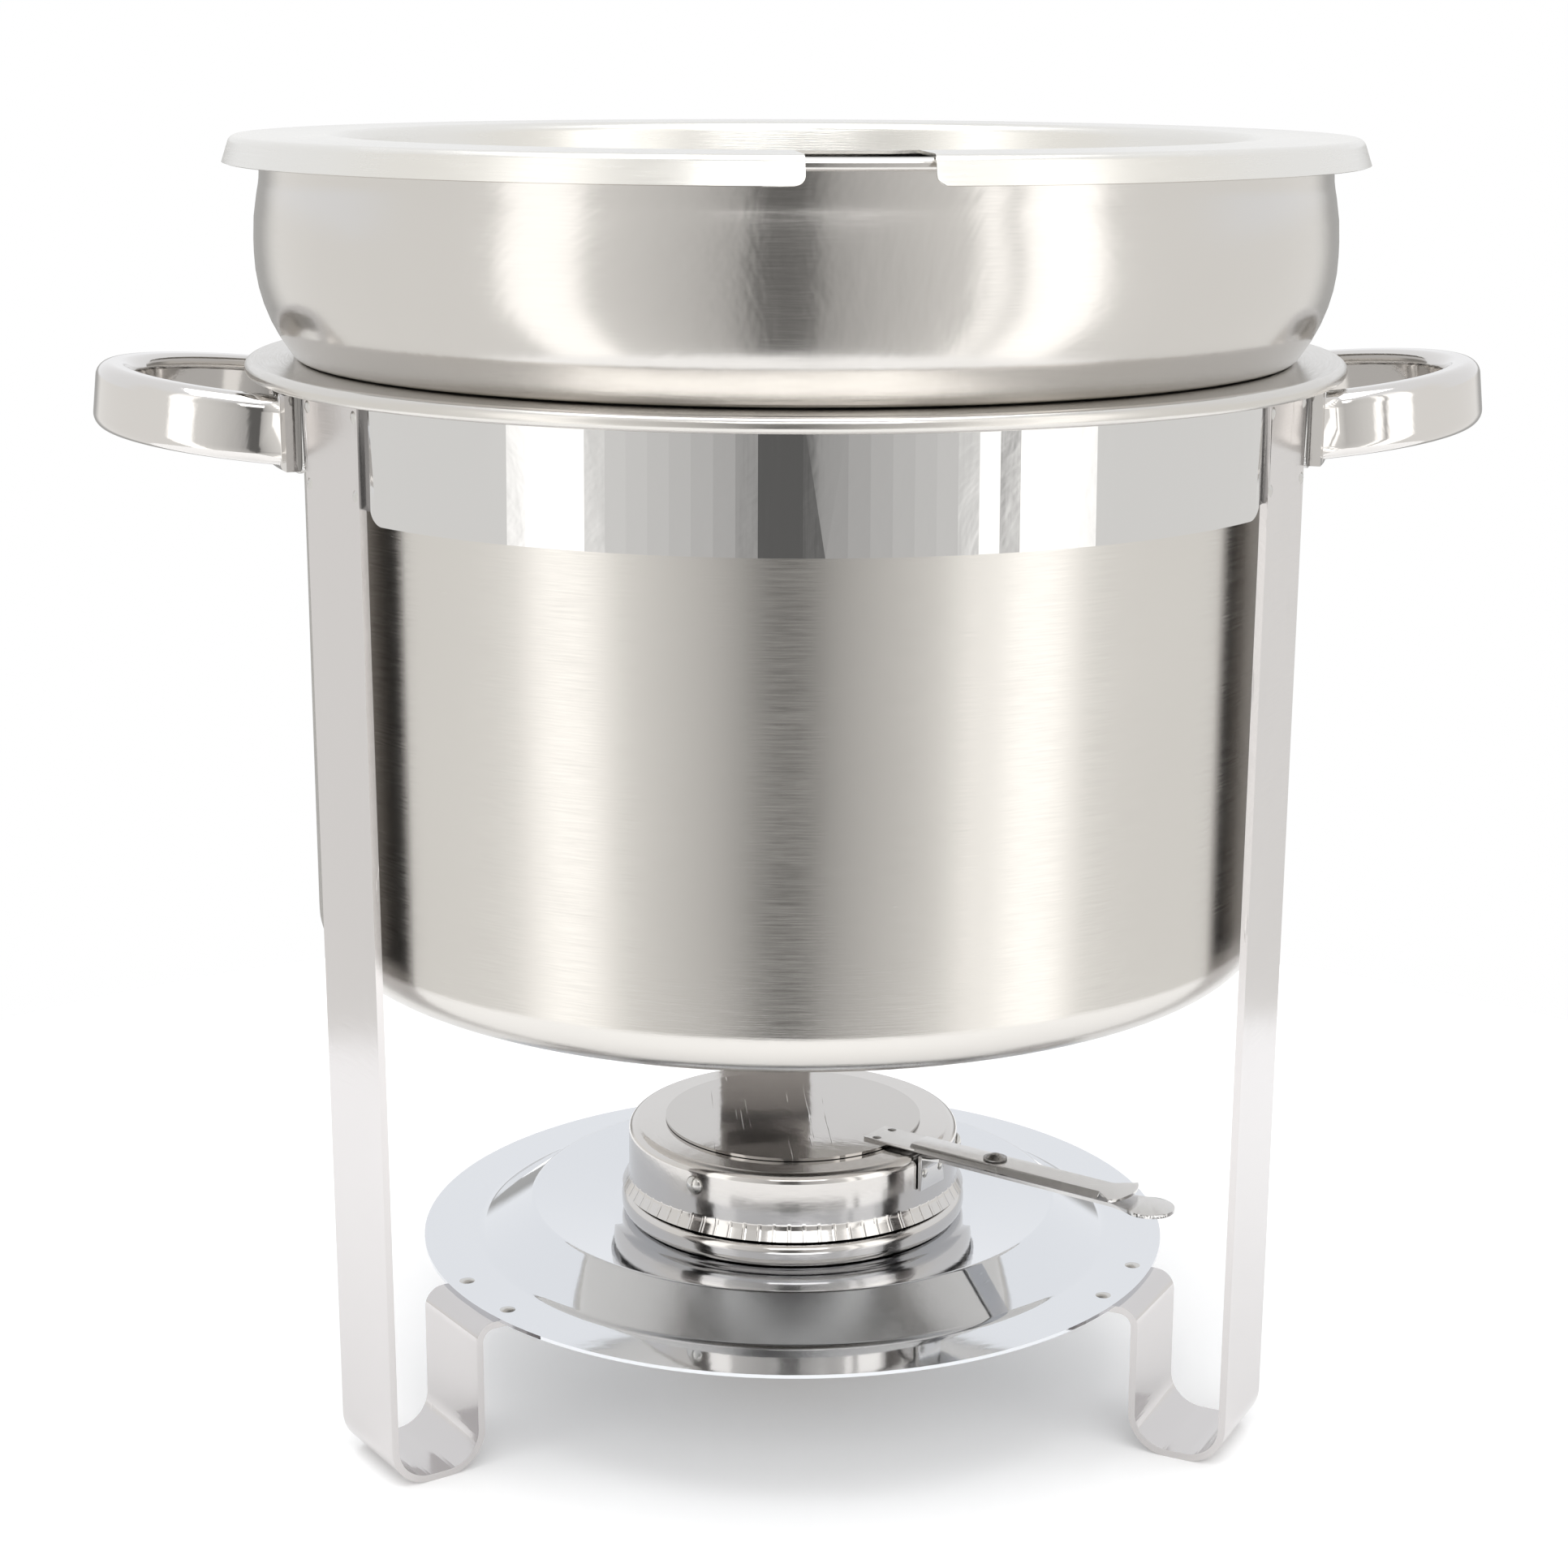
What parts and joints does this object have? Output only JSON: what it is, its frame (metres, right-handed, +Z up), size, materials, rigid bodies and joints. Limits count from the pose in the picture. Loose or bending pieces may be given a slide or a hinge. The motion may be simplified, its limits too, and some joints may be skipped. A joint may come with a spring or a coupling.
{
  "type": "soup kettle",
  "caption": "Free-standing soup kettle: bulged food pan in a water pan on a strip-leg stand with side handles, recessed lid with ladle notch, and a damper-topped fuel holder.",
  "frame": {"origin": "centre of the stand on the surface that it rests on, under the pan's axis", "axes": "+Z up along the pan's axis, front (ladle notch side, between two legs) towards -Y, handles along +X and -X"},
  "size_m": [0.3886, 0.3116, 0.362],
  "materials": {
    "leg_steel": "polished",
    "band_mirror": "mirror polished",
    "rivet_steel": "satin",
    "handle_chrome": "chrome plated",
    "plate_mirror": "mirror polished",
    "pan_brushed": "brushed round the wall",
    "pan_polished": "polished",
    "lid_satin": "fine satin",
    "holder_polished": "polished",
    "damper_satin": "satin",
    "rivet_dark": "satin, darkened"
  },
  "bodies": {
    "stand": {"leg_left": "leg_steel", "leg_right": "leg_steel", "leg_back": "leg_steel", "band_front": "band_mirror", "band_left": "band_mirror", "band_right": "band_mirror", "leg_rivets": "rivet_steel", "handle_left": "handle_chrome", "handle_right": "handle_chrome", "handle_screws": "rivet_steel", "handle_washers": "rivet_steel", "fuel_plate": "plate_mirror", "plate_rivets": "rivet_steel"},
    "water_pan": {"water_pan": "pan_brushed"},
    "food_pan": {"food_pan": "pan_polished"},
    "lid": {"lid_shell": "lid_satin", "lid_handle": "lid_satin", "lid_rivets": "rivet_steel"},
    "fuel_cup": {"fuel_cup": "holder_polished"},
    "holder_cover": {"holder_cover": "holder_polished", "cover_studs": "rivet_steel", "damper_arm": "damper_satin", "arm_rivets": "rivet_steel", "pivot_spacer": "rivet_steel", "pivot_rivet": "rivet_dark"},
    "damper": {"damper_lever": "damper_satin", "disc_rivets": "rivet_dark", "damper_disc": "holder_polished"}
  },
  "joints": [
    {"name": "water_pan_lift", "type": "slide", "parent": "stand", "child": "water_pan", "axis": [0, 0, 1], "range_m": [0, 0.18]},
    {"name": "food_pan_lift", "type": "slide", "parent": "water_pan", "child": "food_pan", "axis": [0, 0, 1], "range_m": [0, 0.14]},
    {"name": "lid_lift", "type": "slide", "parent": "food_pan", "child": "lid", "axis": [0, 0, 1], "range_m": [0, 0.08]},
    {"name": "fuel_cup_lift", "type": "slide", "parent": "stand", "child": "fuel_cup", "axis": [0, 0, 1], "range_m": [0, 0.032]},
    {"name": "cover_lift", "type": "slide", "parent": "fuel_cup", "child": "holder_cover", "axis": [0, 0, 1], "range_m": [0, 0.02]},
    {"name": "damper_swing", "type": "hinge", "parent": "holder_cover", "child": "damper", "pos_m": [0.05455, -0.04545, 0.0768], "axis": [0, 0, 1], "range_deg": [-65, 65]}
  ]
}
